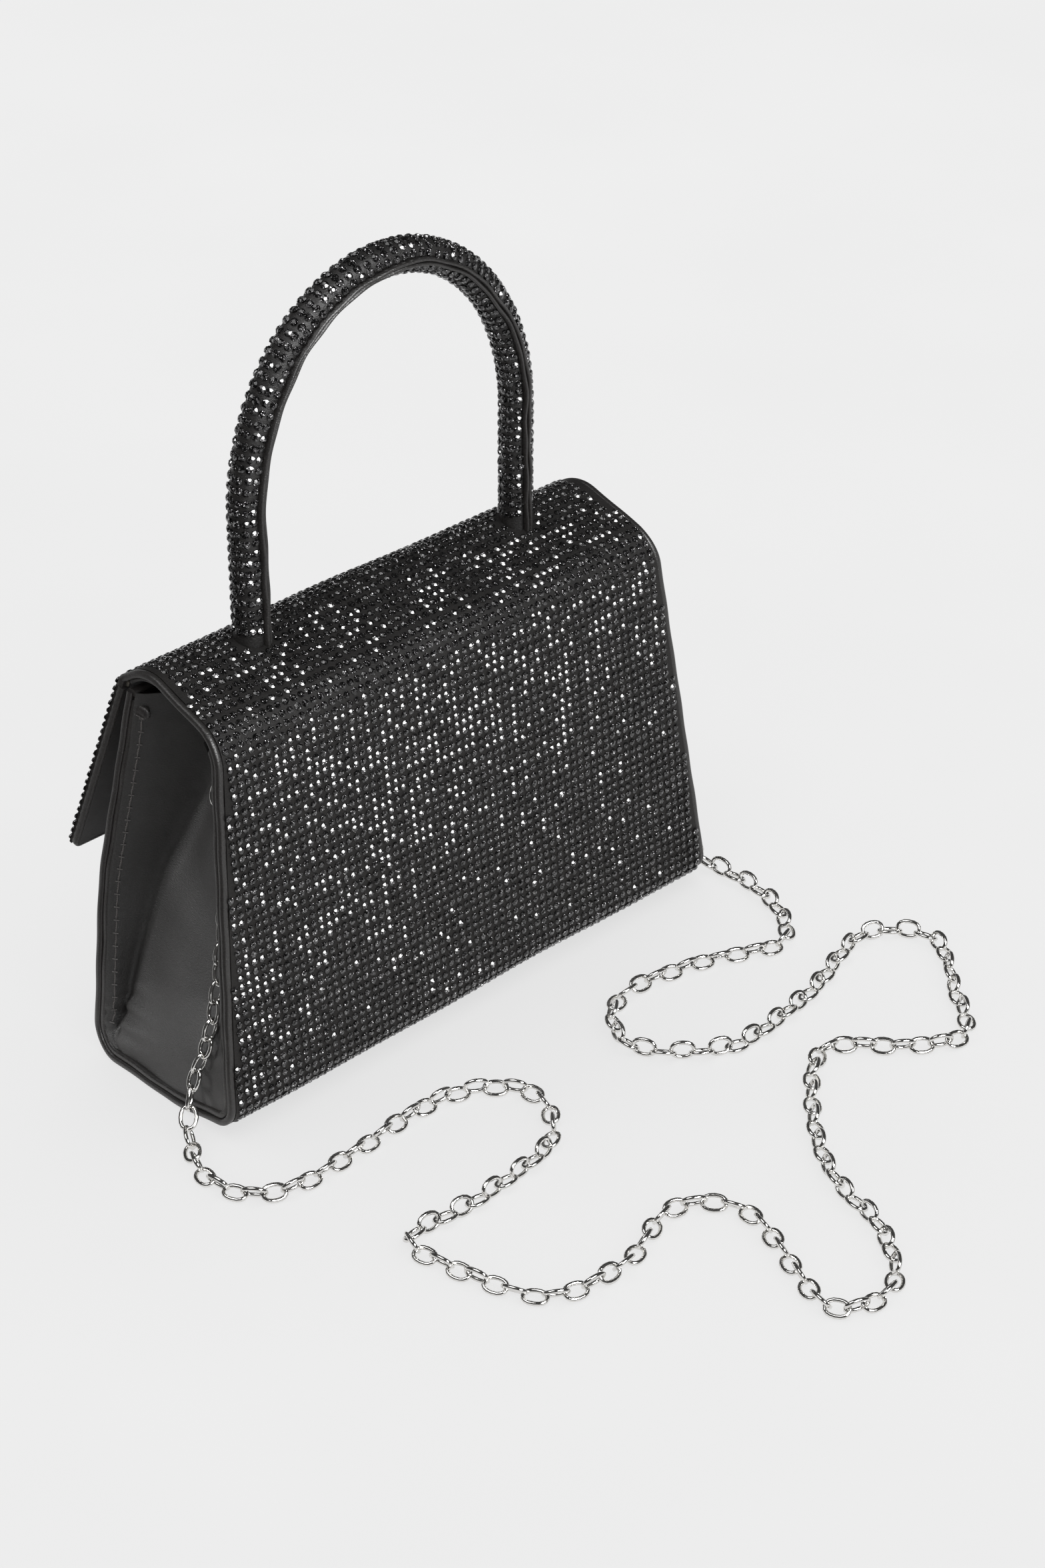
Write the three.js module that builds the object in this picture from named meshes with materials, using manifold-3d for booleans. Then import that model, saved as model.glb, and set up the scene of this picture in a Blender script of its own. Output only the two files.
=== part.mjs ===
// A structured top-handle evening bag: a board-stiffened shell with folded gussets, a lid that carries
// the arched handle and ends in a short front flap with a snap, and a loose chain strap.
// Millimetres, +Z up. The width runs along X, the flap faces -Y, and the base stands on z = 0.
import * as THREE from "three";
import { mergeVertices } from "three/addons/utils/BufferGeometryUtils.js";
import Module from "manifold-3d";

const wasm = await Module();
wasm.setup();

// Driving dimensions
const BASE_WIDTH = 210; // over the end edges at the base
const NARROWING = 0.105; // how much each end leans in for each millimetre of height
const COVER = 1.0; // thickness of the covered fabric
const BOARD = 1.4;
const LINING = 0.6;
const GAP = 0.3; // clearance between neighbouring plies
const EDGE = 2.5; // width of the turned satin edge
const SHEET = 0.8; // thickness of the gusset and pocket cloth
const SEAM = 0.6; // clearance between panels that meet end to end

// Side outline of the bag: the corners of the outer surface in (y, z), with their radii
const CREASE = { y: -19, z: 134 };
const ROOF_PEAK = { y: -7.6, z: 141.4, r: 16 };
const BACK_TOP = { y: 27.3, z: 130.6, r: 14 };
const BACK_BOTTOM = { y: 41.8, z: 4.8, r: 7 };
const BASE_LIFT = { y: 15, z: 0, r: 40 };
const FRONT_BOTTOM = { y: -26.2, z: 0, r: 11 };
const FRONT_BEND = { y: -26.4, z: 62, r: 120 };
const FRONT_TOP = { y: -15.4, z: 129.6 };

const FLAP_LENGTH = 70.2;
const FLAP_ANGLE = 18.3; // degrees off the vertical, standing a little open
const CLOSED_BY = 6; // degrees the flap still has to turn to reach its snap
const SNAP_DROP = 58; // distance of the snap below the crease, along the flap
const SNAP_RADIUS = 7;

const GUSSET_TOP = 124;
const GUSSET_BOTTOM = 4.6;
const FOLD_DEPTH = 4; // depth of the gusset fold at the base
const FOLD_GROWTH = 0.17; // how much deeper the fold gets for each millimetre of height

const HANDLE_HALF_SPAN = 54;
const HANDLE_SPRING = 180; // height at which the straight legs turn into the arch
const HANDLE_APEX = 243.7;
const HANDLE_Y = -2;
const HANDLE_RADIUS = 6;
const CORE_RADIUS = 4.2;

const CHAIN_RADIUS = 3.25;
const RING_Y = 20.8;
const RING_X = 83;
const RING_Z = 109;

// Route of the chain strap, from one D-ring down the end of the bag, over the floor and up to the other
const CHAIN_ROUTE = [
  [83, 20.8, 95.2], [86.8, 22.2, 78], [93, 25.6, 54], [100.4, 28, 32], [106.8, 25.4, 12],
  [114, 33, 3.4], [122, 52, 3.4], [113, 70, 3.4], [38, 72, 3.4],
  [22, 88, 3.4], [33, 108, 3.4], [66, 114, 3.4], [98, 114, 3.4],
  [98, 125, 3.4], [85, 160, 3.4], [60, 165, 3.4], [30, 157, 3.4],
  [16, 171, 3.4], [30, 221, 3.4], [10, 225, 3.4], [-7, 205, 3.4],
  [-14, 181, 3.4], [-35, 153, 3.4], [-61, 135, 3.4], [-80, 152, 3.4],
  [-98, 161, 3.4], [-116, 141, 3.4], [-132, 119, 3.4], [-120, 102, 3.4],
  [-76, 112, 3.4], [-38, 113, 3.4], [-17, 92, 3.4], [-30, 72, 3.4],
  [-66, 75, 3.4], [-95, 86, 3.4], [-109, 68, 3.4], [-111, 42, 3.4],
  [-106.8, 25.4, 12], [-100.4, 28, 32], [-93, 25.6, 54], [-86.8, 22.2, 78], [-83, 20.8, 95.2],
];

// Materials
const finish = (color, roughness, metalness = 0) =>
  new THREE.MeshStandardMaterial({ color, roughness, metalness });
const stoneCloth = finish(0x15151a, 0.35);
const satin = finish(0x0d0d10, 0.45);
const greyBoard = finish(0x4a4640, 0.9);
const liningCloth = finish(0x111114, 0.7);
const nickel = finish(0xc9c9cc, 0.2, 1);
const steel = finish(0x9a9a9e, 0.4, 1);
const rope = finish(0x2a2826, 0.9);

const bag = new THREE.Group();

function addPiece(name, geometry, material, parent = bag) {
  const mesh = new THREE.Mesh(geometry, material);
  mesh.name = name;
  parent.add(mesh);
  return mesh;
}

// Solids for joining and cutting
function toSolid(geometry) {
  const bare = geometry.index ? geometry.toNonIndexed() : geometry.clone();
  bare.deleteAttribute("normal");
  bare.deleteAttribute("uv");
  const merged = mergeVertices(bare, 1e-4);
  return new wasm.Manifold(
    new wasm.Mesh({
      numProp: 3,
      vertProperties: merged.attributes.position.array,
      triVerts: new Uint32Array(merged.index.array),
    }),
  );
}

function toGeometry(solid) {
  const mesh = solid.getMesh();
  const geometry = new THREE.BufferGeometry();
  geometry.setAttribute("position", new THREE.BufferAttribute(mesh.vertProperties, 3));
  geometry.setIndex(new THREE.BufferAttribute(mesh.triVerts, 1));
  return geometry;
}

// Outline: straight runs between corners, with an arc of each corner's radius
function roundedOutline(corners) {
  const at = (c) => new THREE.Vector2(c.y, c.z);
  const points = [at(corners[0])];
  for (let i = 1; i < corners.length - 1; i++) {
    const corner = at(corners[i]);
    const before = at(corners[i - 1]).sub(corner).normalize();
    const after = at(corners[i + 1]).sub(corner).normalize();
    const halfAngle = Math.acos(before.dot(after)) / 2;
    const reach = corners[i].r / Math.tan(halfAngle);
    const centre = before
      .clone()
      .add(after)
      .normalize()
      .multiplyScalar(corners[i].r / Math.sin(halfAngle))
      .add(corner);
    const start = corner.clone().addScaledVector(before, reach).sub(centre);
    const turn = -(Math.PI - 2 * halfAngle);
    const steps = Math.max(2, Math.ceil(Math.abs(turn) / 0.22));
    for (let s = 0; s <= steps; s++) {
      const point = start.clone().rotateAround(new THREE.Vector2(), (turn * s) / steps);
      points.push(point.add(centre));
    }
  }
  points.push(at(corners[corners.length - 1]));
  return points;
}

// The stretch of an outline between two distances along it
function stretch(points, from, to) {
  const result = [];
  let walked = 0;
  for (let i = 1; i < points.length; i++) {
    const length = points[i].distanceTo(points[i - 1]);
    for (const mark of [from, to]) {
      if (mark >= walked && mark < walked + length) {
        result.push(points[i - 1].clone().lerp(points[i], (mark - walked) / length));
      }
    }
    walked += length;
    if (walked > from + 0.2 && walked < to - 0.2) result.push(points[i].clone());
  }
  if (to >= walked) result.push(points[points.length - 1].clone());
  return result;
}

// The outline moved inwards by a distance
function inset(points, distance) {
  return points.map((point, i) => {
    const before = points[Math.max(i - 1, 0)];
    const after = points[Math.min(i + 1, points.length - 1)];
    const a = point.clone().sub(before).normalize();
    const b = after.clone().sub(point).normalize();
    const mean = a.add(b).normalize();
    const along = before === point ? b : point.clone().sub(before).normalize();
    const spread = Math.max(mean.dot(along), 0.5);
    return new THREE.Vector2(mean.y, -mean.x).multiplyScalar(distance / spread).add(point);
  });
}

// A ply between two insets of an outline, run along X from x0 to x1 and narrowed with height
function ply(points, near, far, x0, x1) {
  const edge = [...inset(points, near), ...inset(points, far).reverse()];
  const geometry = new THREE.ExtrudeGeometry(new THREE.Shape(edge), {
    depth: x1 - x0,
    bevelEnabled: false,
  });
  geometry.translate(0, 0, x0);
  return narrowed(geometry.applyMatrix4(AXES_YZX));
}

const AXES_YZX = new THREE.Matrix4().makeBasis(
  new THREE.Vector3(0, 1, 0),
  new THREE.Vector3(0, 0, 1),
  new THREE.Vector3(1, 0, 0),
);
const halfWidth = (z) => BASE_WIDTH / 2 - NARROWING * z;

function narrowed(geometry) {
  const position = geometry.attributes.position;
  for (let i = 0; i < position.count; i++) {
    const scale = halfWidth(position.getZ(i)) / (BASE_WIDTH / 2);
    position.setX(i, position.getX(i) * scale);
  }
  return geometry;
}

const outline = roundedOutline([
  CREASE, ROOF_PEAK, BACK_TOP, BACK_BOTTOM, BASE_LIFT, FRONT_BOTTOM, FRONT_BEND, FRONT_TOP,
]);
const outlineLength = outline.reduce((sum, p, i) => sum + (i ? p.distanceTo(outline[i - 1]) : 0), 0);

function distanceAt(test) {
  let walked = 0;
  for (let i = 1; i < outline.length; i++) {
    walked += outline[i].distanceTo(outline[i - 1]);
    if (test(outline[i])) return walked;
  }
  return walked;
}

const LID_END = distanceAt((p) => p.x > 18); // the lid's hinge line, where the roof meets the back
const BACK_END = distanceAt((p) => p.x < 36 && p.y < 20);
const BASE_END = distanceAt((p) => p.x < -18 && p.y < 20);

// The height-by-height position of the inner face of the front or the back
function wallY(z, isBack) {
  const wall = inset(outline, COVER + BOARD + LINING + 3 * GAP + SHEET / 2);
  for (let i = 1; i < wall.length; i++) {
    const a = wall[i - 1];
    const b = wall[i];
    const falling = b.y < a.y;
    if (falling !== isBack || Math.min(a.y, b.y) > z || Math.max(a.y, b.y) < z) continue;
    if (isBack && a.x < 10) continue;
    return a.x + ((b.x - a.x) * (z - a.y)) / (b.y - a.y);
  }
  return wall[wall.length - 1].x;
}

// Frame of a plane that hangs from (y, z) at an angle off the vertical: X, down the plane, inwards
function hangingFrame(y, z, degrees) {
  const angle = THREE.MathUtils.degToRad(degrees);
  const group = new THREE.Group();
  group.matrixAutoUpdate = false;
  group.matrix
    .makeBasis(
      new THREE.Vector3(1, 0, 0),
      new THREE.Vector3(0, -Math.sin(angle), -Math.cos(angle)),
      new THREE.Vector3(0, Math.cos(angle), -Math.sin(angle)),
    )
    .setPosition(0, y, z);
  return group;
}

// Layer depths below the outer surface
const BOARD_IN = COVER + GAP;
const LINING_IN = BOARD_IN + BOARD + GAP;
const INSIDE = LINING_IN + LINING;
const INNER_X = BASE_WIDTH / 2 - EDGE - GAP;

function addWall(prefix, from, to) {
  const run = stretch(outline, from, to);
  addPiece(prefix + "_cover", ply(run, 0, COVER, -INNER_X, INNER_X), stoneCloth);
  addPiece(prefix + "_board", ply(run, BOARD_IN, BOARD_IN + BOARD, -INNER_X, INNER_X), greyBoard);
}

function addShell() {
  addWall("back", LID_END + SEAM, BACK_END);
  addWall("base", BACK_END + SEAM, BASE_END);
  addWall("front", BASE_END + SEAM, outlineLength);
  const run = stretch(outline, LID_END + SEAM, outlineLength);
  addPiece("shell_lining", ply(run, LINING_IN, INSIDE, -INNER_X, INNER_X), liningCloth);
  const end = BASE_WIDTH / 2;
  addPiece("shell_edge_right", ply(run, 0, INSIDE, end - EDGE, end), satin);
  addPiece("shell_edge_left", ply(run, 0, INSIDE, -end, EDGE - end), satin);
  const pocketRun = stretch(outline, LID_END + 45, LID_END + 100);
  const pocket = ply(pocketRun, INSIDE + GAP, INSIDE + GAP + SHEET, -55, 55);
  addPiece("slip_pocket", pocket, liningCloth);
}

// Lid: the roof between the hinge line and the crease
function addLid() {
  const roof = stretch(outline, 0.8, LID_END - SEAM / 2);
  const inner = stretch(outline, 2, LID_END - SEAM / 2);
  const plies = [
    ["lid_cover", roof, 0, COVER, stoneCloth],
    ["lid_board", inner, BOARD_IN, BOARD_IN + BOARD, greyBoard],
    ["lid_lining", inner, LINING_IN, INSIDE, liningCloth],
  ];
  for (const [name, run, near, far, material] of plies) {
    let solid = toSolid(ply(run, near, far, -INNER_X, INNER_X));
    for (const side of [-1, 1]) {
      const hole = new THREE.CylinderGeometry(CORE_RADIUS + GAP, CORE_RADIUS + GAP, 30, 24);
      hole.rotateX(Math.PI / 2).translate(side * HANDLE_HALF_SPAN, HANDLE_Y, 138);
      solid = solid.subtract(toSolid(hole));
    }
    addPiece(name, toGeometry(solid), material);
  }
  const end = BASE_WIDTH / 2;
  addPiece("lid_edge_right", ply(inner, 0, INSIDE, end - EDGE, end), satin);
  addPiece("lid_edge_left", ply(inner, 0, INSIDE, -end, EDGE - end), satin);
}

// Flap, in the frame of its own plane
function addFlap() {
  const flap = hangingFrame(CREASE.y, CREASE.z, FLAP_ANGLE);
  bag.add(flap);
  const fall = Math.cos(THREE.MathUtils.degToRad(FLAP_ANGLE));
  const half = (v) => halfWidth(CREASE.z - v * fall);
  const panel = (v0, v1, margin) => {
    const shape = new THREE.Shape();
    shape.moveTo(-half(v0) + margin, v0);
    shape.lineTo(half(v0) - margin, v0);
    shape.lineTo(half(v1) - margin, v1);
    shape.lineTo(-half(v1) + margin, v1);
    return shape;
  };
  const slab = (shape, near, far) =>
    new THREE.ExtrudeGeometry(shape, { depth: far - near, bevelEnabled: false }).translate(0, 0, near);
  const margin = EDGE + GAP;
  const end = FLAP_LENGTH - margin;
  addPiece("flap_cover", slab(panel(0.8, end, margin), 0, COVER), stoneCloth, flap);
  addPiece("flap_board", slab(panel(2, end, margin), BOARD_IN, BOARD_IN + BOARD), greyBoard, flap);
  const lining = panel(2, end, margin);
  const snapHole = new THREE.Path();
  snapHole.absarc(0, SNAP_DROP, SNAP_RADIUS + GAP, 0, 2 * Math.PI, true);
  lining.holes.push(snapHole);
  addPiece("flap_lining", slab(lining, LINING_IN, INSIDE), liningCloth, flap);

  const outer = toSolid(slab(panel(2, FLAP_LENGTH, 0), 0, INSIDE));
  const middle = toSolid(slab(panel(-5, FLAP_LENGTH - EDGE, EDGE), -1, INSIDE + 1));
  addPiece("flap_edge", toGeometry(outer.subtract(middle)), satin, flap);

  // The snap's male half sits on the board, with its post facing the front panel
  const male = new THREE.LatheGeometry(
    [
      new THREE.Vector2(0, LINING_IN),
      new THREE.Vector2(SNAP_RADIUS, LINING_IN),
      new THREE.Vector2(SNAP_RADIUS, INSIDE + 1),
      new THREE.Vector2(2.4, INSIDE + 1),
      new THREE.Vector2(2.4, INSIDE + 2.2),
      new THREE.Vector2(0, INSIDE + 2.2),
    ],
    32,
  );
  addPiece("snap_post", male.rotateX(Math.PI / 2).translate(0, SNAP_DROP, 0), steel, flap);
}

// The snap's female half, set into the front panel where the post lands
function addSnapSocket() {
  const slope = Math.atan2(FRONT_TOP.y - FRONT_BEND.y, FRONT_TOP.z - FRONT_BEND.z);
  const closed = THREE.MathUtils.degToRad(FLAP_ANGLE - CLOSED_BY);
  const landing = CREASE.z - SNAP_DROP * Math.cos(closed) - INSIDE * Math.sin(closed);
  const y = FRONT_BEND.y + (landing - FRONT_BEND.z) * Math.tan(slope);
  const frame = hangingFrame(y, landing, THREE.MathUtils.radToDeg(slope));
  bag.add(frame);
  const proud = -1.2;
  const socket = new THREE.LatheGeometry(
    [
      new THREE.Vector2(0, 0.4),
      new THREE.Vector2(3.4, 0.4),
      new THREE.Vector2(3.4, proud),
      new THREE.Vector2(SNAP_RADIUS, proud),
      new THREE.Vector2(SNAP_RADIUS, COVER),
      new THREE.Vector2(0, COVER),
    ],
    32,
  );
  addPiece("snap_socket", socket.rotateX(Math.PI / 2), steel, frame);
  const cutter = new THREE.CylinderGeometry(SNAP_RADIUS + GAP, SNAP_RADIUS + GAP, 6, 32);
  cutter.rotateX(Math.PI / 2).applyMatrix4(frame.matrix);
  const cover = bag.getObjectByName("front_cover");
  cover.geometry = toGeometry(toSolid(cover.geometry).subtract(toSolid(cutter)));
}

// Gussets: at each end a front and a back cloth, with flanges on the walls, that meet in a fold
const FOLD_POINT = 3; // which point of the line is the fold

function gussetLine(z) {
  const depth = FOLD_DEPTH + FOLD_GROWTH * z;
  const x = halfWidth(z);
  const front = wallY(z, false);
  const back = wallY(z, true);
  const inFlange = Math.min(4, depth * 0.35);
  return [
    new THREE.Vector2(x - 0.4, front),
    new THREE.Vector2(x - 0.4 - inFlange, front + 0.3),
    new THREE.Vector2(x - 0.4 - depth * 0.75, THREE.MathUtils.lerp(front, back, 0.27)),
    new THREE.Vector2(x - 0.4 - depth, THREE.MathUtils.lerp(front, back, 0.45)),
    new THREE.Vector2(x - 0.4 - depth * 0.8, back - 1.6),
    new THREE.Vector2(x - 0.4 - depth * 0.72, back),
    new THREE.Vector2(x - 0.4, back),
  ];
}

function gussetGeometry(side, first, last) {
  const bow = (i) => 0.1 * i * i;
  const section = [];
  for (let i = first; i <= last; i++) section.push(new THREE.Vector2(i, bow(i)));
  for (let i = last; i >= first; i--) section.push(new THREE.Vector2(i, bow(i) + 1));
  const geometry = new THREE.ExtrudeGeometry(new THREE.Shape(section), {
    depth: GUSSET_TOP - GUSSET_BOTTOM,
    steps: 8,
    bevelEnabled: false,
  });
  const neighbour = first === FOLD_POINT ? FOLD_POINT + 1 : FOLD_POINT - 1;
  const position = geometry.attributes.position;
  for (let n = 0; n < position.count; n++) {
    const i = Math.round(position.getX(n));
    const outward = position.getY(n) - bow(i) > 0.5 ? 0.5 : -0.5;
    const z = GUSSET_BOTTOM + position.getZ(n);
    const line = gussetLine(z);
    const atFold = line[FOLD_POINT];
    atFold.lerp(line[neighbour], (GAP + SHEET) / atFold.distanceTo(line[neighbour]));
    const shifted = inset(line.slice(first, last + 1), outward * SHEET)[i - first];
    position.setXYZ(n, side * shifted.x, shifted.y, z);
  }
  if (side > 0) flipFaces(geometry);
  return geometry;
}

function flipFaces(geometry) {
  const position = geometry.attributes.position;
  const hold = new THREE.Vector3();
  const other = new THREE.Vector3();
  for (let n = 0; n < position.count; n += 3) {
    hold.fromBufferAttribute(position, n + 1);
    other.fromBufferAttribute(position, n + 2);
    position.setXYZ(n + 1, other.x, other.y, other.z);
    position.setXYZ(n + 2, hold.x, hold.y, hold.z);
  }
}

// A round bar along a curve
function bar(curve, radius, steps, sides) {
  const section = new THREE.Shape();
  section.absarc(0, 0, radius, 0, 2 * Math.PI);
  return new THREE.ExtrudeGeometry(section, {
    steps,
    curveSegments: sides / 2, // a full circle gets two points for each segment
    bevelEnabled: false,
    extrudePath: curve,
  });
}

// The handle's centre line: two straight legs and a half ellipse
class HandleCurve extends THREE.Curve {
  constructor(foot, offsetY) {
    super();
    this.foot = foot;
    this.y = HANDLE_Y + offsetY;
  }
  getPoint(t, target = new THREE.Vector3()) {
    const leg = 0.2; // share of the curve given to each leg
    const up = Math.min(t, 1 - t) / leg;
    if (up < 1) {
      const x = t < leg ? HANDLE_HALF_SPAN : -HANDLE_HALF_SPAN;
      return target.set(x, this.y, THREE.MathUtils.lerp(this.foot, HANDLE_SPRING, up));
    }
    const angle = (Math.PI * (t - leg)) / (1 - 2 * leg);
    const rise = HANDLE_APEX - HANDLE_SPRING;
    const z = HANDLE_SPRING + rise * Math.sin(angle);
    return target.set(HANDLE_HALF_SPAN * Math.cos(angle), this.y, z);
  }
}

function addHandle() {
  const raised = inset(outline, -GAP);
  const under = new THREE.Shape([...raised, new THREE.Vector2(CREASE.y + 10, 60)]);
  const block = new THREE.ExtrudeGeometry(under, { depth: BASE_WIDTH, bevelEnabled: false });
  const bagSolid = toSolid(block.translate(0, 0, -BASE_WIDTH / 2).applyMatrix4(AXES_YZX));
  const whole = toSolid(bar(new HandleCurve(128, 0), HANDLE_RADIUS, 32, 16));
  const bore = toSolid(bar(new HandleCurve(120, 0), CORE_RADIUS + GAP, 34, 12));
  const tube = whole.subtract(bore).subtract(bagSolid);
  addPiece("handle_cover", toGeometry(tube), stoneCloth);
  addPiece("handle_core", bar(new HandleCurve(130.5, 0), CORE_RADIUS, 32, 10), rope);
  const pipingY = HANDLE_RADIUS + GAP + 0.9;
  const piping = toSolid(bar(new HandleCurve(128, pipingY), 0.8, 32, 6));
  addPiece("handle_piping", toGeometry(piping.subtract(bagSolid)), satin);
  for (const [side, word] of [[1, "right"], [-1, "left"]]) {
    const washer = new THREE.LatheGeometry(
      [
        new THREE.Vector2(CORE_RADIUS + GAP, 131.4),
        new THREE.Vector2(8, 131.4),
        new THREE.Vector2(8, 133),
        new THREE.Vector2(CORE_RADIUS + GAP, 133),
        new THREE.Vector2(CORE_RADIUS + GAP, 131.4),
      ],
      24,
    );
    washer.rotateX(Math.PI / 2).translate(side * HANDLE_HALF_SPAN, HANDLE_Y, 0);
    addPiece("handle_washer_" + word, washer, steel);
  }
}

// A ring of round wire, in the plane across the given axis
function ring(radius, wire, axis) {
  const geometry = new THREE.TorusGeometry(radius, wire, 6, 18);
  if (axis === "x") geometry.rotateY(Math.PI / 2);
  if (axis === "y") geometry.rotateX(Math.PI / 2);
  return geometry;
}

// Hardware at each end: a tab sewn under the back's top edge, a D-ring in it and the chain's end ring
function addChainHardware() {
  const ringRadius = 6;
  const wire = 0.9;
  const topBar = RING_Z + ringRadius;
  const loop = wire + 0.7;
  const width = 5;
  for (const [side, word] of [[1, "right"], [-1, "left"]]) {
    const tab = new THREE.Shape();
    const rise = 4;
    tab.moveTo(loop, rise);
    tab.lineTo(loop, 0);
    tab.absarc(0, 0, loop, 0, Math.PI, true);
    tab.lineTo(-loop, rise);
    tab.lineTo(-loop - SHEET, rise);
    tab.lineTo(-loop - SHEET, 0);
    tab.absarc(0, 0, loop + SHEET, Math.PI, 0, false);
    tab.lineTo(loop + SHEET, rise);
    const strap = new THREE.ExtrudeGeometry(tab, { depth: width, bevelEnabled: false, curveSegments: 8 });
    strap.translate(0, 0, -width / 2).applyMatrix4(AXES_YZX);
    addPiece("d_ring_tab_" + word, strap.translate(side * RING_X, RING_Y, topBar), satin);
    const dRing = ring(ringRadius, wire, "y").translate(side * RING_X, RING_Y, RING_Z);
    addPiece("d_ring_" + word, dRing, nickel);
    const link = ring(3.4, 0.75, "x").translate(side * RING_X, RING_Y, RING_Z - ringRadius - 1.6);
    addPiece("chain_end_ring_" + word, link, nickel);
  }
}

// A smooth curve through the route's points that never dips below the floor
class ChainCurve extends THREE.CatmullRomCurve3 {
  getPoint(t, target) {
    const point = super.getPoint(t, target);
    point.z = Math.max(point.z, CHAIN_RADIUS + 0.1);
    return point;
  }
}

function addChain() {
  const points = CHAIN_ROUTE.map(([x, y, z]) => new THREE.Vector3(x, y, z));
  const route = new ChainCurve(points, false, "centripetal");
  route.arcLengthDivisions = 800;
  addPiece("chain_strap", bar(route, CHAIN_RADIUS, 80, 8), nickel);
}

addShell();
addLid();
addFlap();
addSnapSocket();
for (const [side, word] of [[1, "right"], [-1, "left"]]) {
  const end = gussetLine(GUSSET_BOTTOM).length - 1;
  addPiece("gusset_front_" + word, gussetGeometry(side, 0, FOLD_POINT), satin);
  addPiece("gusset_back_" + word, gussetGeometry(side, FOLD_POINT, end), satin);
}
addHandle();
addChainHardware();
addChain();

export default bag;
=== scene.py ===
"""The looks of a stone-covered top-handle evening bag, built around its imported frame. Metres, +Z up."""
import math
import bpy
import numpy as np
from mathutils import Matrix, Vector


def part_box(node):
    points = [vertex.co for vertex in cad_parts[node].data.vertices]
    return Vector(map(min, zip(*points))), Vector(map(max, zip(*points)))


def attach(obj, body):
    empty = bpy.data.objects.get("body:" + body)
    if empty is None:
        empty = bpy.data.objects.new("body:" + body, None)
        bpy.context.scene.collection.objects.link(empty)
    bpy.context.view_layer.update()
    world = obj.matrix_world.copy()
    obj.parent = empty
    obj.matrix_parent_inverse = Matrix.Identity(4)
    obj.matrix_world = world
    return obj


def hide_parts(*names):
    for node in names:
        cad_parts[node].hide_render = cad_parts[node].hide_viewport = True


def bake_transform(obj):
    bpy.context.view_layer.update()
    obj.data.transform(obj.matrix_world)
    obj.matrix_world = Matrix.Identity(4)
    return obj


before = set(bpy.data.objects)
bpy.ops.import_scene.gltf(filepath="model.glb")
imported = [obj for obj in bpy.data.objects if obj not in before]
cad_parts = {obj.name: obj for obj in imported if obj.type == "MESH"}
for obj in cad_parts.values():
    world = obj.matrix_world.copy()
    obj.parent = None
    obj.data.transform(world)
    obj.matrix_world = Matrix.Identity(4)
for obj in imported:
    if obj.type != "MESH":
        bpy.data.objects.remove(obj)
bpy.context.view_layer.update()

MM = 0.001
SIDES = (("right", 1), ("left", -1))
rng = np.random.default_rng(7)

# ---------------------------------------------------------------- sizes, in millimetres

BASE_HALF = 105.0  # half the width at the base
NARROWING = 0.105  # how far each end leans in for each millimetre of height

# Corners (y, z, radius) of the outer surface, from the flap's crease over the roof, back and base
CORNERS = [
    (-19, 134, 0), (-7.6, 141.4, 16), (27.3, 130.6, 14), (41.8, 4.8, 7),
    (15, 0, 40), (-26.2, 0, 11), (-26.4, 62, 120), (-15.2, 130.9, 0),
]
FLAP_LENGTH = 70.2
FLAP_ANGLE = math.radians(18.3)
WALL = 3.6  # cover, board and lining together
COVER = 0.95  # thickness of the cover cloth
LINING_DEPTH = 2.95  # of the lining's outer face, below the outer surface
STITCH_PITCH = 4.7
EDGE = 2.6  # width of the turned satin edge
STONE_PITCH = 2.93
STONE_RADIUS = 1.17
STONE_GIRDLE = 0.34  # height of the stone's widest ring above the cloth
STONE_TABLE = 0.5  # radius of its flat top
CROWN_SLOPE = math.radians(33.5)  # of the facets between the two
STONE_FACETS = 6  # main facets round the crown; the girdle has twice as many corners

HANDLE_Y = -2.0
HANDLE_HALF_SPAN = 54.8
HANDLE_SHIFT = -1.2  # of the handle's middle, along X
HANDLE_SPRING = 180.0
HANDLE_APEX = 244.9
HANDLE_RADIUS = 4.95
CORE_SPAN = 54.0  # of the holes in the roof board that the handle's core goes down
CORE_FOOT = 131.0  # the height of the core's ends, under the roof board
CORE_RADIUS = 3.4
HANDLE_PITCH = 3.3  # of the stones along the handle
HANDLE_COLUMNS = 11
HANDLE_CLEARANCE = 6.4  # the roof's stones stop this far from a leg's centre line
SEAM_HALF = math.radians(15)  # half the handle's seam, seen from its centre line
SEAM_LEAN = (math.radians(26), math.radians(1))  # the seam's turn towards the inside, right foot to left
HANDLE_FOOT = 137.0  # the height where the handle's cover meets the roof

GUSSET_TOP = 127.8
GUSSET_SEAM = 4.3  # depth of the gusset's seams below the outer surface
GUSSET_FLAT = 2.5  # between the gusset's front seam and its row of stitches
# The gusset's fold: how deep it is at some heights, and its share of the way from front to back
FOLD_HEIGHTS = (4, 20, 36, 55, 73, 94, 110, 128)
FOLD_DEPTHS = (3.0, 6.0, 8.8, 12.3, 16.3, 20.5, 22.0, 22.5)
FOLD_SHARES = (0.05, 0.06, 0.10, 0.17, 0.23, 0.37, 0.5, 0.6)
LOWER_FOLD = (8.0, 17.0, 29.0)  # heights of the fold across the gusset's foot, from front to back

CHAIN_PITCH = 6.15
LINK_LENGTH = 8.7
LINK_WIDTH = 6.4
LINK_WIRE = 0.7

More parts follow.
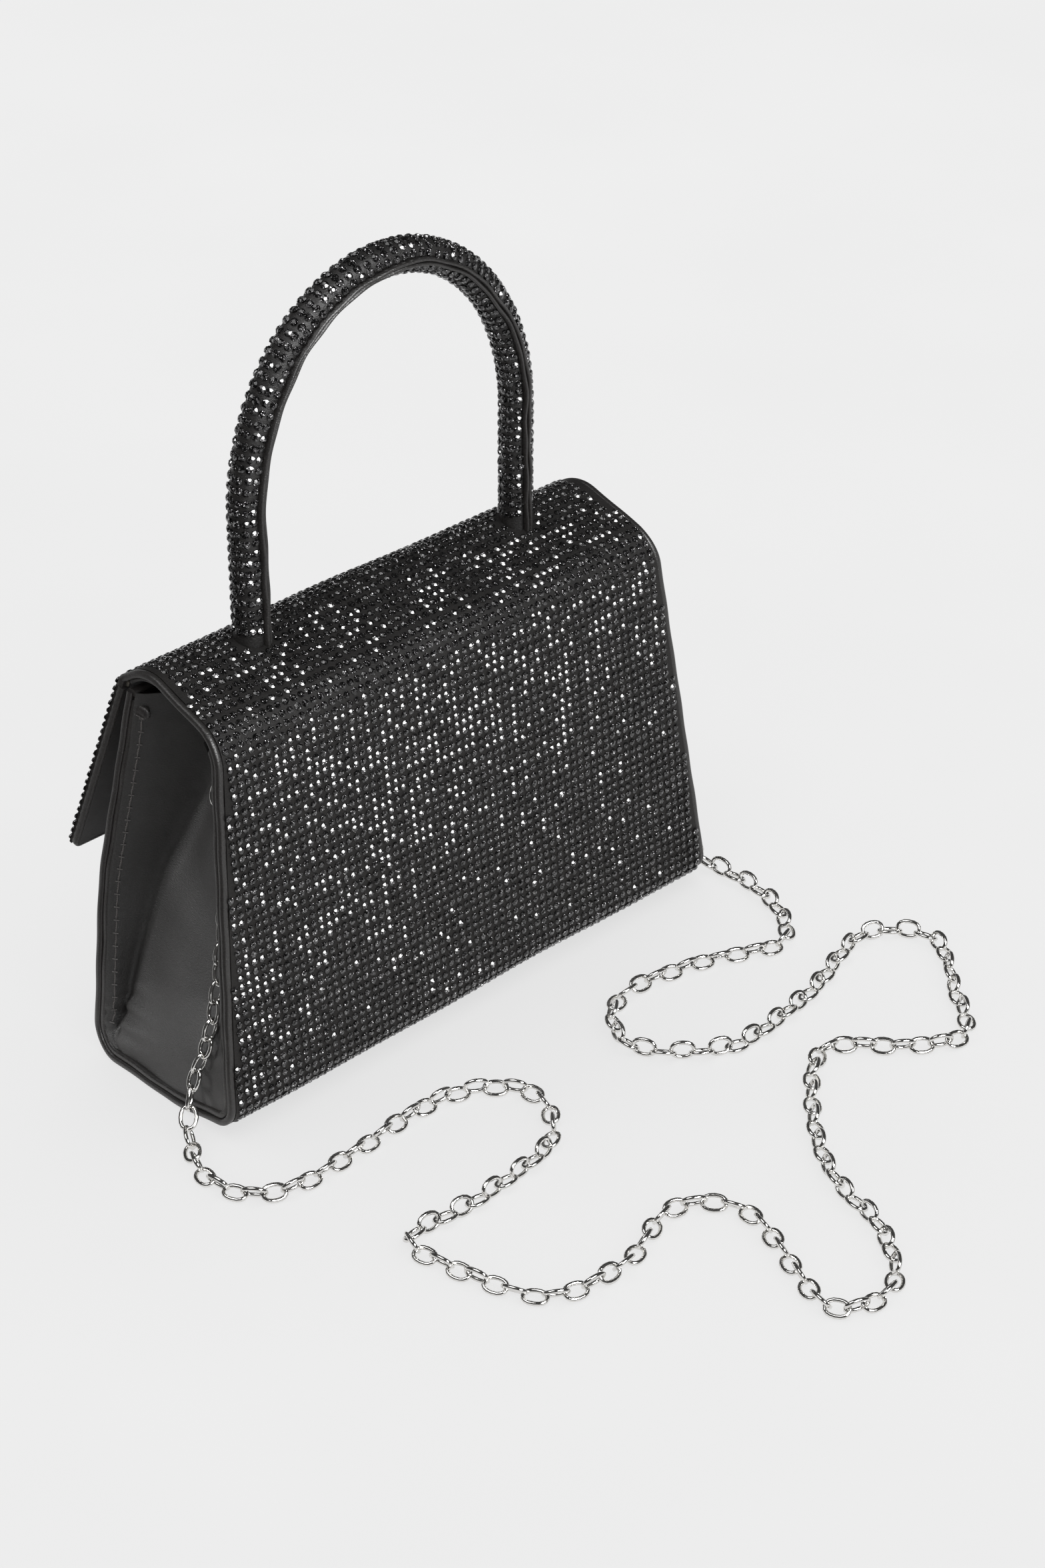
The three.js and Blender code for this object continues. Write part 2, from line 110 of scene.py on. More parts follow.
# The chain strap's route, from one D-ring down the bag's end, over the floor and up to the other
CHAIN_HANGING = [
    (0.083, 0.0208, 0.0952), (0.0868, 0.0222, 0.078), (0.093, 0.0256, 0.054),
    (0.1004, 0.028, 0.032), (0.1068, 0.0254, 0.012),
]
CHAIN_LYING = [
    (0.114, 0.033), (0.122, 0.052), (0.113, 0.070), (0.038, 0.072), (0.022, 0.088),
    (0.033, 0.108), (0.066, 0.114), (0.098, 0.114), (0.098, 0.125), (0.085, 0.160),
    (0.060, 0.165), (0.030, 0.157), (0.016, 0.171), (0.030, 0.221), (0.010, 0.225),
    (-0.007, 0.205), (-0.014, 0.181), (-0.035, 0.153), (-0.061, 0.135), (-0.080, 0.152),
    (-0.098, 0.161), (-0.116, 0.141), (-0.132, 0.119), (-0.120, 0.102), (-0.076, 0.112),
    (-0.038, 0.113), (-0.017, 0.092), (-0.030, 0.072), (-0.066, 0.075), (-0.095, 0.086),
    (-0.109, 0.068), (-0.111, 0.042),
]
CHAIN_ROUTE = [
    *CHAIN_HANGING,
    *((x, y, 0.0034) for x, y in CHAIN_LYING),
    *((-x, y, z) for x, y, z in reversed(CHAIN_HANGING)),
]
CHAIN_FLOOR = 0.00335  # the chain's centre line never lies lower than this


def placed(name, data):
    """An object that holds some data, in the scene."""
    result = bpy.data.objects.new(name, data)
    bpy.context.collection.objects.link(result)
    return result


# ---------------------------------------------------------------- camera

CAMERA_AZIMUTH = math.radians(136.0)
CAMERA_ELEVATION = math.radians(32.35)
CAMERA_ROLL = math.radians(0.286)
CAMERA_AIM = Vector((-0.0325, 0.0262, 0.063))
CAMERA_DISTANCE = 1.1171
CAMERA_LENS = 80.08


def make_camera():
    away = Vector((
        math.sin(CAMERA_AZIMUTH) * math.cos(CAMERA_ELEVATION),
        -math.cos(CAMERA_AZIMUTH) * math.cos(CAMERA_ELEVATION),
        math.sin(CAMERA_ELEVATION),
    ))
    data = bpy.data.cameras.new("camera")
    data.lens = CAMERA_LENS
    data.sensor_width = 36.0
    data.clip_start = 0.05
    data.clip_end = 20.0
    camera = placed("camera", data)
    camera.location = CAMERA_AIM + away * CAMERA_DISTANCE
    camera.rotation_mode = "QUATERNION"
    roll = Matrix.Rotation(CAMERA_ROLL, 3, away)
    camera.rotation_quaternion = (roll @ (-away).to_track_quat("-Z", "Y").to_matrix()).to_quaternion()
    bpy.context.scene.camera = camera


# ---------------------------------------------------------------- meshes

def volume(points, faces):
    """Six times the volume that a closed surface's faces hold, below nothing if they point inwards."""
    total = 0.0
    for face in faces:
        first = points[face[0]]
        for i in range(1, len(face) - 1):
            total += np.dot(first, np.cross(points[face[i]], points[face[i + 1]]))
    return total


def make_object(name, parts, material, body, smooth=True, replaces=(), sample=None):
    """A mesh piece from points in millimetres, with its faces turned outwards, riding on a body."""
    mesh = bpy.data.meshes.new(name)
    points, faces = parts
    points = np.asarray(points, float)
    faces = [tuple(int(i) for i in face) for face in faces]
    if volume(points - points.mean(0), faces[:sample]) < 0:
        faces = [face[::-1] for face in faces]
    mesh.from_pydata((points * MM).tolist(), [], faces)
    mesh.validate()
    mesh.update()
    if smooth:
        mesh.polygons.foreach_set("use_smooth", np.ones(len(mesh.polygons), bool))
        mesh.set_sharp_from_angle(angle=math.radians(55))
    piece = placed(name, mesh)
    mesh.materials.append(MATERIALS[material])
    if body:
        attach(piece, body)
    if replaces:
        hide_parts(*replaces)
    return piece


def slab(outer, inner):
    """Points and faces of a closed sheet between two grids of the same shape (rows, columns, 3)."""
    rows, columns = outer.shape[:2]
    points = np.concatenate([outer.reshape(-1, 3), inner.reshape(-1, 3)])
    index = np.arange(rows * columns).reshape(rows, columns)
    under = index + rows * columns

    def quads(a, b, c, d):
        return np.stack([a.ravel(), b.ravel(), c.ravel(), d.ravel()], -1)

    faces = [
        quads(index[:-1, :-1], index[:-1, 1:], index[1:, 1:], index[1:, :-1]),
        quads(under[:-1, :-1], under[1:, :-1], under[1:, 1:], under[:-1, 1:]),
        quads(index[:-1, 0], index[1:, 0], under[1:, 0], under[:-1, 0]),
        quads(index[1:, -1], index[:-1, -1], under[:-1, -1], under[1:, -1]),
        quads(index[0, 1:], index[0, :-1], under[0, :-1], under[0, 1:]),
        quads(index[-1, :-1], index[-1, 1:], under[-1, 1:], under[-1, :-1]),
    ]
    return points, np.concatenate(faces)


def tube(grid, ring=False):
    """Points and faces of a bar whose sections are the grid's rows (n, k, 3); a ring joins its two ends."""
    n, k = grid.shape[:2]
    faces = []
    for i in range(n if ring else n - 1):
        row, after = i * k, (i + 1) % n * k
        faces.extend((row + j, row + (j + 1) % k, after + (j + 1) % k, after + j) for j in range(k))
    if not ring:
        faces.append(tuple(range(k))[::-1])
        faces.append(tuple((n - 1) * k + j for j in range(k)))
    return grid.reshape(-1, 3), faces


def sweep(centres, across, up, section, ring=False):
    """A bar: a section (k, 2) or (n, k, 2) carried along centres, its axes fixed or given at each centre."""
    across, up = (np.broadcast_to(np.asarray(v, float), centres.shape)[:, None] for v in (across, up))
    centres = np.asarray(centres, float)[:, None]
    section = np.broadcast_to(section, (len(centres), *np.shape(section)[-2:]))
    return tube(centres + across * section[..., 0:1] + up * section[..., 1:2], ring)


def join(parts):
    """One mesh from several (points, faces) pairs."""
    points, faces, count = [], [], 0
    for p, f in parts:
        points.append(p)
        faces.extend(tuple(int(i) + count for i in face) for face in f)
        count += len(p)
    return np.concatenate(points), faces


def rounded_section(half_wide, half_high, sides=16, power=0.75):
    """A rounded rectangle's outline."""
    t = np.arange(sides) * 2 * math.pi / sides
    cos, sin = np.cos(t), np.sin(t)
    return np.stack([
        half_wide * np.sign(cos) * np.abs(cos) ** power, half_high * np.sign(sin) * np.abs(sin) ** power,
    ], -1)


def circle(radius, sides):
    angles = np.arange(sides) * 2 * math.pi / sides
    return np.stack([np.cos(angles), np.sin(angles)], -1) * radius


def walk(points):
    """The distance walked to each of some points."""
    return np.r_[0, np.cumsum(np.linalg.norm(np.diff(points, axis=0), axis=1))]


def in_space(x, yz):
    """Points or directions (..., 3) from X and (y, z)."""
    return np.stack([np.broadcast_to(x, yz.shape[:-1]), yz[..., 0], yz[..., 1]], -1)


def unit(v):
    v = np.asarray(v, float)
    return v / np.maximum(np.linalg.norm(v, axis=-1, keepdims=True), 1e-12)


# ---------------------------------------------------------------- the bag's outline

def rounded_outline():
    corners = [np.array(c[:2], float) for c in CORNERS]
    points = [corners[0]]
    for i in range(1, len(corners) - 1):
        before = unit(corners[i - 1] - corners[i])
        after = unit(corners[i + 1] - corners[i])
        half = math.acos(np.clip(before @ after, -1, 1)) / 2
        radius = CORNERS[i][2]
        centre = corners[i] + unit(before + after) * radius / math.sin(half)
        start = corners[i] + before * radius / math.tan(half) - centre
        turn = -(math.pi - 2 * half)
        for t in np.linspace(0, turn, 24):
            points.append(centre + np.array([
                start[0] * math.cos(t) - start[1] * math.sin(t),
                start[0] * math.sin(t) + start[1] * math.cos(t),
            ]))
    points.append(corners[-1])
    return np.array(points)


class Line:
    """A line in the (y, z) plane with its distance along and its outward normal."""

    def __init__(self, points, step=0.25):
        points = np.asarray(points, float)
        walked = walk(points)
        self.length = walked[-1]
        self.s = np.linspace(0, self.length, int(self.length / step) + 1)
        self.yz = np.stack([np.interp(self.s, walked, points[:, i]) for i in (0, 1)], -1)
        tangent = unit(np.gradient(self.yz, axis=0))
        kernel = np.ones(5) / 5
        tangent = unit(np.stack([
            np.convolve(np.pad(tangent[:, i], 2, "edge"), kernel, "valid") for i in (0, 1)
        ], -1))
        self.normal = np.stack([-tangent[:, 1], tangent[:, 0]], -1)

    def at(self, s, depth=0.0):
        """Points (y, z) at distances s, moved inwards by a depth."""
        s = np.asarray(s, float)
        point = np.stack([np.interp(s, self.s, self.yz[:, i]) for i in (0, 1)], -1)
        return point - self.normal_at(s) * np.asarray(depth)[..., None]

    def normal_at(self, s):
        return unit(np.stack([np.interp(s, self.s, self.normal[:, i]) for i in (0, 1)], -1))

    def where(self, test, after=0.0):
        for s, point in zip(self.s, self.yz):
            if s > after and test(*point):
                return s
        return self.length


def half_width(z):
    return BASE_HALF - NARROWING * np.asarray(z)


OUTLINE = Line(rounded_outline())
LID_END = OUTLINE.where(lambda y, z: y > 18.4)
BACK_END = OUTLINE.where(lambda y, z: y < 36.5 and z < 20)
BASE_END = OUTLINE.where(lambda y, z: y < -18 and z < 20)
FLAP = Line([
    (CORNERS[0][0] - math.sin(FLAP_ANGLE) * v, CORNERS[0][1] - math.cos(FLAP_ANGLE) * v)
    for v in (0, FLAP_LENGTH)
])
FLAP.normal = -FLAP.normal  # the flap's line runs down from the crease, so its outside is the other side


def undulation(x, s):
    """Slow unevenness of the cover, in millimetres."""
    return (
        0.28 * np.sin(x / 23.0 + s / 31.0 + 0.6)
        + 0.22 * np.sin(x / 37.0 - s / 17.0 + 2.1)
        + 0.15 * np.sin(x / 11.0 + s / 13.0)
    )


def cover_points(line, s, x, depth):
    """Points (..., 3) on a line's wall at distances s and places x."""
    return in_space(x, line.at(s, depth))


def wall_grid(line, s, margin, depth, columns=70, wave=False):
    """A grid over a stretch of wall, margin inside the ends."""
    yz = line.at(s)
    half = half_width(yz[:, 1]) - margin
    share = np.linspace(-1, 1, columns)
    x = half[:, None] * share[None]
    s_grid = np.broadcast_to(s[:, None], x.shape)
    bump = undulation(x, s_grid) * (1 - share[None] ** 8) if wave else 0.0
    return cover_points(line, s_grid, x, depth - bump * np.ones_like(x))


def wall(line, s0, s1, near, far, margin, wave_near=False, wave_far=False, columns=70):
    """A sheet over a stretch of wall, between two depths below the outer surface."""
    s = np.linspace(s0, s1, max(5, int((s1 - s0) / 1.2)))
    outer = wall_grid(line, s, margin, near, columns, wave_near)
    inner = wall_grid(line, s, margin, far, columns, wave_far)
    return slab(outer, inner)


def point_on(line, s):
    """A point of a wall's line at X 0, in metres."""
    y, z = line.at(np.array([s]))[0] * MM
    return 0.0, y, z


# ---------------------------------------------------------------- stones

def stone_shape():
    """A faceted stone: a girdle, a crown of flat main facets and a small table."""
    corners = 2 * STONE_FACETS
    girdle = circle(STONE_RADIUS, corners)
    table = circle(STONE_TABLE, STONE_FACETS)
    half_facet = math.cos(math.pi / STONE_FACETS)
    slope = math.tan(CROWN_SLOPE)
    dip = STONE_RADIUS * (1 - half_facet) * slope  # keeps each main facet flat out to its middle corner
    table_height = STONE_GIRDLE + (STONE_RADIUS - STONE_TABLE) * half_facet * slope
    points = [(x * 0.96, y * 0.96, -0.15) for x, y in girdle]
    points += [(x, y, STONE_GIRDLE - dip * (j % 2)) for j, (x, y) in enumerate(girdle)]
    points += [(x, y, table_height) for x, y in table]
    faces = [tuple(range(corners))[::-1]]
    faces += [(j, (j + 1) % corners, corners + (j + 1) % corners, corners + j) for j in range(corners)]
    for j in range(STONE_FACETS):
        after = (j + 1) % STONE_FACETS
        rim = [corners + 2 * j, corners + 2 * j + 1, corners + 2 * after]
        faces.append((*rim, 2 * corners + after, 2 * corners + j))
    faces.append(tuple(2 * corners + j for j in range(STONE_FACETS)))
    return np.array(points), faces


def add_stones(name, centres, normals, along, body, tilt=2.6, scale=1.0):
    """One mesh of stones, each turned and tilted a little."""
    shape, shape_faces = stone_shape()
    count = len(centres)
    normals = unit(normals + rng.normal(0, math.radians(tilt), (count, 3)))
    along = unit(along - normals * (along * normals).sum(-1, keepdims=True))
    side = np.cross(normals, along)
    turn = rng.uniform(0, 2 * math.pi, count)[:, None]
    first = along * np.cos(turn) + side * np.sin(turn)
    second = np.cross(normals, first)
    size = scale * rng.uniform(0.95, 1.04, count)[:, None, None]
    x, y, z = (shape[None, :, i:i + 1] for i in range(3))
    points = centres[:, None] + size * (first[:, None] * x + second[:, None] * y + normals[:, None] * z)
    faces = [
        tuple(i * len(shape) + j for j in face) for i in range(count) for face in shape_faces
    ]
    return make_object(name, (points.reshape(-1, 3), faces), "stone", body,
                       smooth=False, sample=len(shape_faces))


def wall_stones(name, line, s0, s1, body, margin=2.8, skip=None, wave=True, fitted=False):
    """Stones in a square grid over a stretch of wall, or in rows spread to fit between its ends."""
    rows = max(1, int(round((s1 - s0) / STONE_PITCH)))
    s_rows = s0 + (np.arange(rows) + 0.5) * (s1 - s0) / rows
    columns = np.arange(-40, 41) * STONE_PITCH
    s, x = np.meshgrid(s_rows, columns, indexing="ij")
    if fitted:
        reach = half_width(line.at(s_rows)[:, 1]) - margin
        x = x * (reach / (np.floor(reach / STONE_PITCH) * STONE_PITCH))[:, None]
        margin -= 0.3
    s, x = s.ravel(), x.ravel()
    s = s + rng.normal(0, 0.05, len(s))
    x = x + rng.normal(0, 0.06, len(x))
    keep = np.abs(x) < half_width(line.at(s)[:, 1]) - margin
    if skip is not None:
        keep &= ~skip(x, line.at(s))
    s, x = s[keep], x[keep]
    bump = undulation(x, s) if wave else 0 * x
    centres = cover_points(line, s, x, -bump)
    step = 0.5
    if wave:
        slope_x = (undulation(x + step, s) - undulation(x - step, s)) / (2 * step)
        slope_s = (undulation(x, s + step) - undulation(x, s - step)) / (2 * step)
    else:
        slope_x = slope_s = 0 * x
    normal = line.normal_at(s)
    normals = in_space(-slope_x, normal)
    tangent = in_space(0, normal[:, ::-1] * [1, -1])
    normals = unit(normals - tangent * slope_s[:, None])
    along = np.tile([1.0, 0.0, 0.0], (len(x), 1))
    return add_stones(name, centres, normals, along, body)


# ---------------------------------------------------------------- materials

MATERIALS = {}


class Look:
    """A material's nodes: a principled shader, and what feeds it."""

    def __init__(self, name):
        material = MATERIALS[name] = bpy.data.materials.new(name)
        material.use_nodes = True
        self.nodes, self.links = material.node_tree.nodes, material.node_tree.links
        self.nodes.clear()
        self.output = self.nodes.new("ShaderNodeOutputMaterial")
        self.shader = self.nodes.new("ShaderNodeBsdfPrincipled")
        self.links.new(self.shader.outputs["BSDF"], self.output.inputs["Surface"])

    def add(self, kind, values=(), **inputs):
        """A new node, with values on some of its sockets and links into others."""
        node = self.nodes.new("ShaderNode" + kind)
        for socket, value in dict(values).items():
            node.inputs[socket].default_value = value
        for socket, source in inputs.items():
            self.links.new(source, node.inputs[socket])
        return node

    def coordinates(self, scale=(1, 1, 1), rotation=(0, 0, 0)):
        place = self.add("TexCoord").outputs["Object"]
        values = {"Scale": scale, "Rotation": rotation}
        return self.add("Mapping", values, Vector=place).outputs["Vector"]

    def noise(self, scale, detail=3.0, vector=None):
        values = {"Scale": scale, "Detail": detail}
        return self.add("TexNoise", values, Vector=vector or self.coordinates()).outputs["Fac"]

    def wave(self, scale, rotation):
        values = {"Scale": scale, "Distortion": 0.6, "Detail": 1.0}
        vector = self.coordinates(rotation=rotation)
        return self.add("TexWave", values, Vector=vector).outputs["Fac"]

    def ramp(self, value, low, high, start=0.3, end=0.7):
        node = self.add("ValToRGB", Fac=value)
        for element, position, colour in zip(node.color_ramp.elements, (start, end), (low, high)):
            element.position = position
            element.color = (*colour, 1)
        return node.outputs["Color"]

    def mixed(self, a, b, share):
        node = self.nodes.new("ShaderNodeMix")
        node.data_type = "FLOAT"
        node.inputs["Factor"].default_value = share
        self.links.new(a, node.inputs["A"])
        self.links.new(b, node.inputs["B"])
        return node.outputs["Result"]

    def feed(self, socket, source):
        self.links.new(source, self.shader.inputs[socket])

    def roughen(self, value, low, high):
        node = self.add("MapRange", {"To Min": low, "To Max": high}, Value=value)
        self.feed("Roughness", node.outputs["Result"])

    def bump(self, height, strength, distance):
        values = {"Strength": strength, "Distance": distance}
        self.feed("Normal", self.add("Bump", values, Height=height).outputs["Normal"])

    def set(self, **values):
        """Values on the shader's own sockets, their names written with _ for a space."""
        for socket, value in values.items():
            self.shader.inputs[socket.replace("_", " ")].default_value = value


def satin_material(name, low, high, roughness, weave_bump=0.5, sheen=0.1, specular=0.5):
    """Satin: a fine diagonal twill with soft unevenness in colour and gloss."""
    look = Look(name)
    grain = look.noise(2600, 2)
    look.feed("Base Color", look.ramp(look.mixed(look.noise(60, 4), grain, 0.7), low, high))
    look.roughen(look.noise(180, 3), *roughness)
    twill = look.noise(1100, 2, look.coordinates((1, 1, 3.2), (0.8, 0.35, 0.8)))
    look.bump(look.mixed(twill, grain, 0.4), weave_bump, 0.00025)
    look.set(Sheen_Weight=sheen, Sheen_Roughness=0.35, Specular_IOR_Level=specular)


def metal_material(name, low, high, roughness, fine=500):
    """A plated metal with handling marks in its gloss."""
    look = Look(name)
    look.feed("Base Color", look.ramp(look.noise(220, 2), low, high))
    look.roughen(look.noise(fine, 4), *roughness)
    look.set(Metallic=1.0)


def strand_material(look, height, low, high, roughness, strength, distance):
    """A fibrous material from a pattern of fibres or strands."""
    look.feed("Base Color", look.ramp(height, low, high))
    look.set(Roughness=roughness)
    look.bump(height, strength, distance)


def make_stone_material():
    """Black glass over a dark foil: the crown reflects as it is cut, the foil in small facets of its own."""
    look = Look("stone")
    foil = look.ramp(look.noise(1300, 1), (0.012, 0.0115, 0.012), (0.15, 0.147, 0.15), 0.4, 0.66)
    look.feed("Base Color", foil)
    look.roughen(look.noise(400, 2), 0.10, 0.22)
    cells = look.add("TexVoronoi", {"Scale": 1150}, Vector=look.coordinates())
    look.bump(cells.outputs["Distance"], 1.0, 0.0007)
    look.set(Metallic=1.0, Coat_Weight=1.0, Coat_Roughness=0.03, Coat_IOR=1.6)


def make_floor_material():
    """Pale paper that partly glows, as on a light table."""
    look = Look("floor")
    paper = look.ramp(look.noise(6, 3), (0.845, 0.845, 0.845), (0.86, 0.86, 0.86))
    blend = look.add("MixShader", {"Fac": FLOOR_GLOW})
    look.links.new(look.add("BsdfDiffuse", Color=paper).outputs["BSDF"], blend.inputs[1])
    look.links.new(look.add("Emission", Color=paper).outputs["Emission"], blend.inputs[2])
    look.links.new(blend.outputs["Shader"], look.output.inputs["Surface"])
    look.nodes.remove(look.shader)


def make_materials():
    satin_material("ground", (0.008, 0.0064, 0.0056), (0.018, 0.0155, 0.0142), (0.55, 0.7), 0.9, 0.02, 0.3)
    satin_material("satin", (0.011, 0.0092, 0.0083), (0.026, 0.0232, 0.0218), (0.32, 0.45), 0.8, 0.05, 0.7)
    satin_material("gusset", (0.006, 0.0050, 0.0043), (0.018, 0.0160, 0.0150), (0.48, 0.6), 0.9, 0.03, 0.8)
    satin_material("lining", (0.012, 0.0105, 0.0100), (0.022, 0.0198, 0.0190), (0.45, 0.6), 0.5, 0.05)
    satin_material("streaked", (0.008, 0.0068, 0.0062), (0.020, 0.0178, 0.0168), (0.4, 0.55), 0.9, 0.03)
    satin_material("card", (0.01, 0.01, 0.01), (0.014, 0.014, 0.014), (0.8, 0.9), 0.2, 0.0)
    metal_material("nickel", (0.70, 0.69, 0.67), (0.82, 0.81, 0.79), (0.05, 0.13), 700)
    metal_material("steel", (0.40, 0.40, 0.41), (0.55, 0.55, 0.56), (0.2, 0.38))
    board, rope, thread = Look("board"), Look("rope"), Look("thread")
    fibres = board.noise(420, 6, board.coordinates((1, 1, 4)))
    strand_material(board, fibres, (0.16, 0.145, 0.12), (0.25, 0.23, 0.20), 0.9, 0.4, 0.0002)
    strands = rope.wave(120, (0.6, 0.2, 0.7))
    strand_material(rope, strands, (0.06, 0.055, 0.05), (0.14, 0.13, 0.12), 0.85, 0.6, 0.0004)
    twist = thread.wave(900, (0.5, 0.5, 0.5))
    strand_material(thread, twist, (0.045, 0.041, 0.039), (0.11, 0.102, 0.098), 0.5, 0.4, 0.0001)
    make_stone_material()
    make_floor_material()


# ---------------------------------------------------------------- covers and stones on the walls

HINGE_REACH = 3.0  # the soft strips over the two hinges run this far to each side
MARGIN = EDGE - 0.5  # the stone cloth stops this far inside the bag's ends
FLAP_MARGIN = 0.35


def near_handle(x, yz):
    """True under the handle's feet."""
    away = np.hypot(np.abs(x - HANDLE_SHIFT) - HANDLE_HALF_SPAN, yz[:, 0] - HANDLE_Y)
    return (away < HANDLE_CLEARANCE) & (yz[:, 1] > 100)


def add_strip(name, parts, material, slot, bodies, start, end):
    """A soft piece over a hinge, on no body, fixed where it is built."""
    strip = make_object(name, parts, material, None)
    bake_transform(strip)


def crease_line(depth):
    """The bend over the flap's crease, at a depth below the outer surface."""
    gap = 0.4 + 0.36 * depth
    roof = OUTLINE.at(np.linspace(HINGE_REACH, gap, 5), depth)
    flap = FLAP.at(np.linspace(gap, HINGE_REACH, 5), depth)
    line = Line(np.concatenate([roof, flap]), 0.1)
    line.normal = -line.normal
    return line


def add_walls():
    shell_start, lid_end = LID_END + HINGE_REACH, LID_END - HINGE_REACH
    flap_end = FLAP_LENGTH - 0.6
    walls = [
        ("back", OUTLINE, shell_start, BACK_END, "shell", True),
        ("base", OUTLINE, BACK_END, BASE_END, "shell", False),
        ("front", OUTLINE, BASE_END, OUTLINE.length, "shell", False),
        ("roof", OUTLINE, HINGE_REACH, lid_end, "lid", True),
        ("flap", FLAP, HINGE_REACH, flap_end, "flap", False),
    ]
    for word, line, s0, s1, body, wave in walls:
        margin = FLAP_MARGIN if body == "flap" else MARGIN
        material, slot = ("satin", "satin") if word == "base" else ("ground", "stone_cloth")
        node = ("lid" if word == "roof" else word) + "_cover"
        parts = wall(line, s0, s1, 0, COVER, margin, wave, columns=90)
        make_object(word + "_satin", parts, material, body, replaces=[node])
    linings = [
        ("shell", OUTLINE, shell_start, OUTLINE.length - 0.5),
        ("lid", OUTLINE, HINGE_REACH, lid_end),
        ("flap", FLAP, HINGE_REACH, flap_end - 0.7),
    ]
    for body, line, s0, s1 in linings:
        margin = FLAP_MARGIN + 0.8 if body == "flap" else MARGIN + 0.6
        inner = WALL - 0.25 if body == "flap" else WALL
        parts = wall(line, s0, s1, LINING_DEPTH, inner, margin, False, True, columns=80)
        make_object(body + "_lining_cloth", parts, "lining", body, replaces=[body + "_lining"])

    lid_point, shell_point = point_on(OUTLINE, lid_end), point_on(OUTLINE, shell_start)
    ends = ("lid", "shell"), lid_point, shell_point
    cover = wall(OUTLINE, lid_end, shell_start, 0, COVER, MARGIN, True, columns=90)
    add_strip("hinge_satin", cover, "ground", "stone_cloth", *ends)
    inner = wall(OUTLINE, lid_end, shell_start, LINING_DEPTH, WALL, MARGIN + 0.6, columns=80)
    add_strip("hinge_lining", inner, "lining", "lining", *ends)

    roof_point, flap_point = point_on(OUTLINE, HINGE_REACH), point_on(FLAP, HINGE_REACH)
    ends = ("lid", "flap"), roof_point, flap_point
    line = crease_line(0)
    add_strip("crease_satin", wall(line, 0, line.length, 0, COVER, MARGIN, columns=90), "ground",
              "stone_cloth", *ends)
    line = crease_line(LINING_DEPTH)
    add_strip("crease_lining", wall(line, 0, line.length, 0, 0.65, MARGIN + 0.6, columns=80), "lining",
              "lining", *ends)

    wall_stones("back_stones", OUTLINE, LID_END + 0.3, BACK_END - 0.5, "shell")
    wall_stones("front_stones", OUTLINE, BASE_END + 5, OUTLINE.length - 1.5, "shell", wave=False)
    wall_stones("roof_stones", OUTLINE, 0.6, LID_END - 0.3, "lid", skip=near_handle)
    wall_stones("flap_stones", FLAP, 0.6, flap_end - 0.5, "flap", margin=0.8, wave=False, fitted=True)


# ---------------------------------------------------------------- satin edges

# A bar's depth below the outer surface, its inset from the end, and its section
BEAD = 1.2, 1.15, rounded_section(1.2, 1.2)
RIDGE = 3.5, 1.6, rounded_section(1.05, 1.15)
TRIM = 3.0, 1.7, rounded_section(0.7, 0.6)
FLAP_BEAD_DEPTH, FLAP_BEAD_INSET = 2.05, 0.95
FLAP_BEAD = rounded_section(0.95, 1.25)


def end_bar(line, s0, s1, side, bar, wobble=0.1, rounded_ends=False):
    """A bar that follows a wall along one end of the bag."""
    depth, inset, section = bar
    s = np.linspace(s0, s1, max(6, int(abs(s1 - s0) / 1.3)))
    yz = line.at(s, depth)
    ripple = wobble * (np.sin(s / 2.9 + side) + 0.6 * np.sin(s / 6.7 + 1.3 * depth))
    x = side * (half_width(line.at(s)[:, 1]) - inset - ripple)
    normal = line.normal_at(s)
    if rounded_ends:
        near_end = np.minimum(s - s0, s1 - s) / 1.6
        section = section * np.sqrt(np.clip(1 - (1 - np.clip(near_end, 0, 1)) ** 2, 0.02, 1))[:, None, None]
    return sweep(in_space(x, yz), [side, 0.0, 0.0], in_space(0, normal), section)


def add_edges():
    lid_end, shell_start = LID_END - HINGE_REACH, LID_END + HINGE_REACH
    lid_point, shell_point = point_on(OUTLINE, lid_end), point_on(OUTLINE, shell_start)
    roof_point, flap_point = point_on(OUTLINE, HINGE_REACH), point_on(FLAP, HINGE_REACH)
    crease = crease_line(0)
    for word, side in SIDES:
        parts = end_bar(OUTLINE, shell_start, OUTLINE.length, side, BEAD)
        make_object("shell_bead_" + word, parts, "satin", "shell",
                    replaces=["shell_edge_" + word])
        parts = end_bar(OUTLINE, HINGE_REACH, lid_end, side, BEAD)
        make_object("lid_bead_" + word, parts, "satin", "lid", replaces=["lid_edge_" + word])
        parts = end_bar(OUTLINE, HINGE_REACH, lid_end, side, TRIM)
        make_object("lid_trim_" + word, parts, "satin", "lid")
        hinge = join([
            end_bar(OUTLINE, lid_end, shell_start, side, BEAD),
            end_bar(OUTLINE, lid_end, shell_start, side, TRIM),
        ])
        add_strip("hinge_bead_" + word, hinge, "satin", "satin", ("lid", "shell"), lid_point, shell_point)
        bead = end_bar(crease, 0, crease.length, side, BEAD)
        add_strip("crease_bead_" + word, bead, "satin", "satin", ("lid", "flap"), roof_point, flap_point)
    add_flap_bead()
    add_lip("front_lip", OUTLINE, OUTLINE.length, "shell")


def add_lip(name, line, s, body):
    """The satin roll along a panel's free edge, from end to end."""
    centre = line.at(np.array([s]), 1.9)[0]
    half = float(half_width(centre[1])) - 1.0
    x = np.linspace(-half, half, 90)
    wobble = 0.12 * np.sin(x / 5.3)
    centres = np.stack([x, centre[0] + 0 * x, centre[1] + wobble], -1)
    parts = sweep(centres, [0.0, 1.0, 0.0], [0.0, 0.0, 1.0], rounded_section(1.75, 1.1))
    make_object(name, parts, "satin", body)


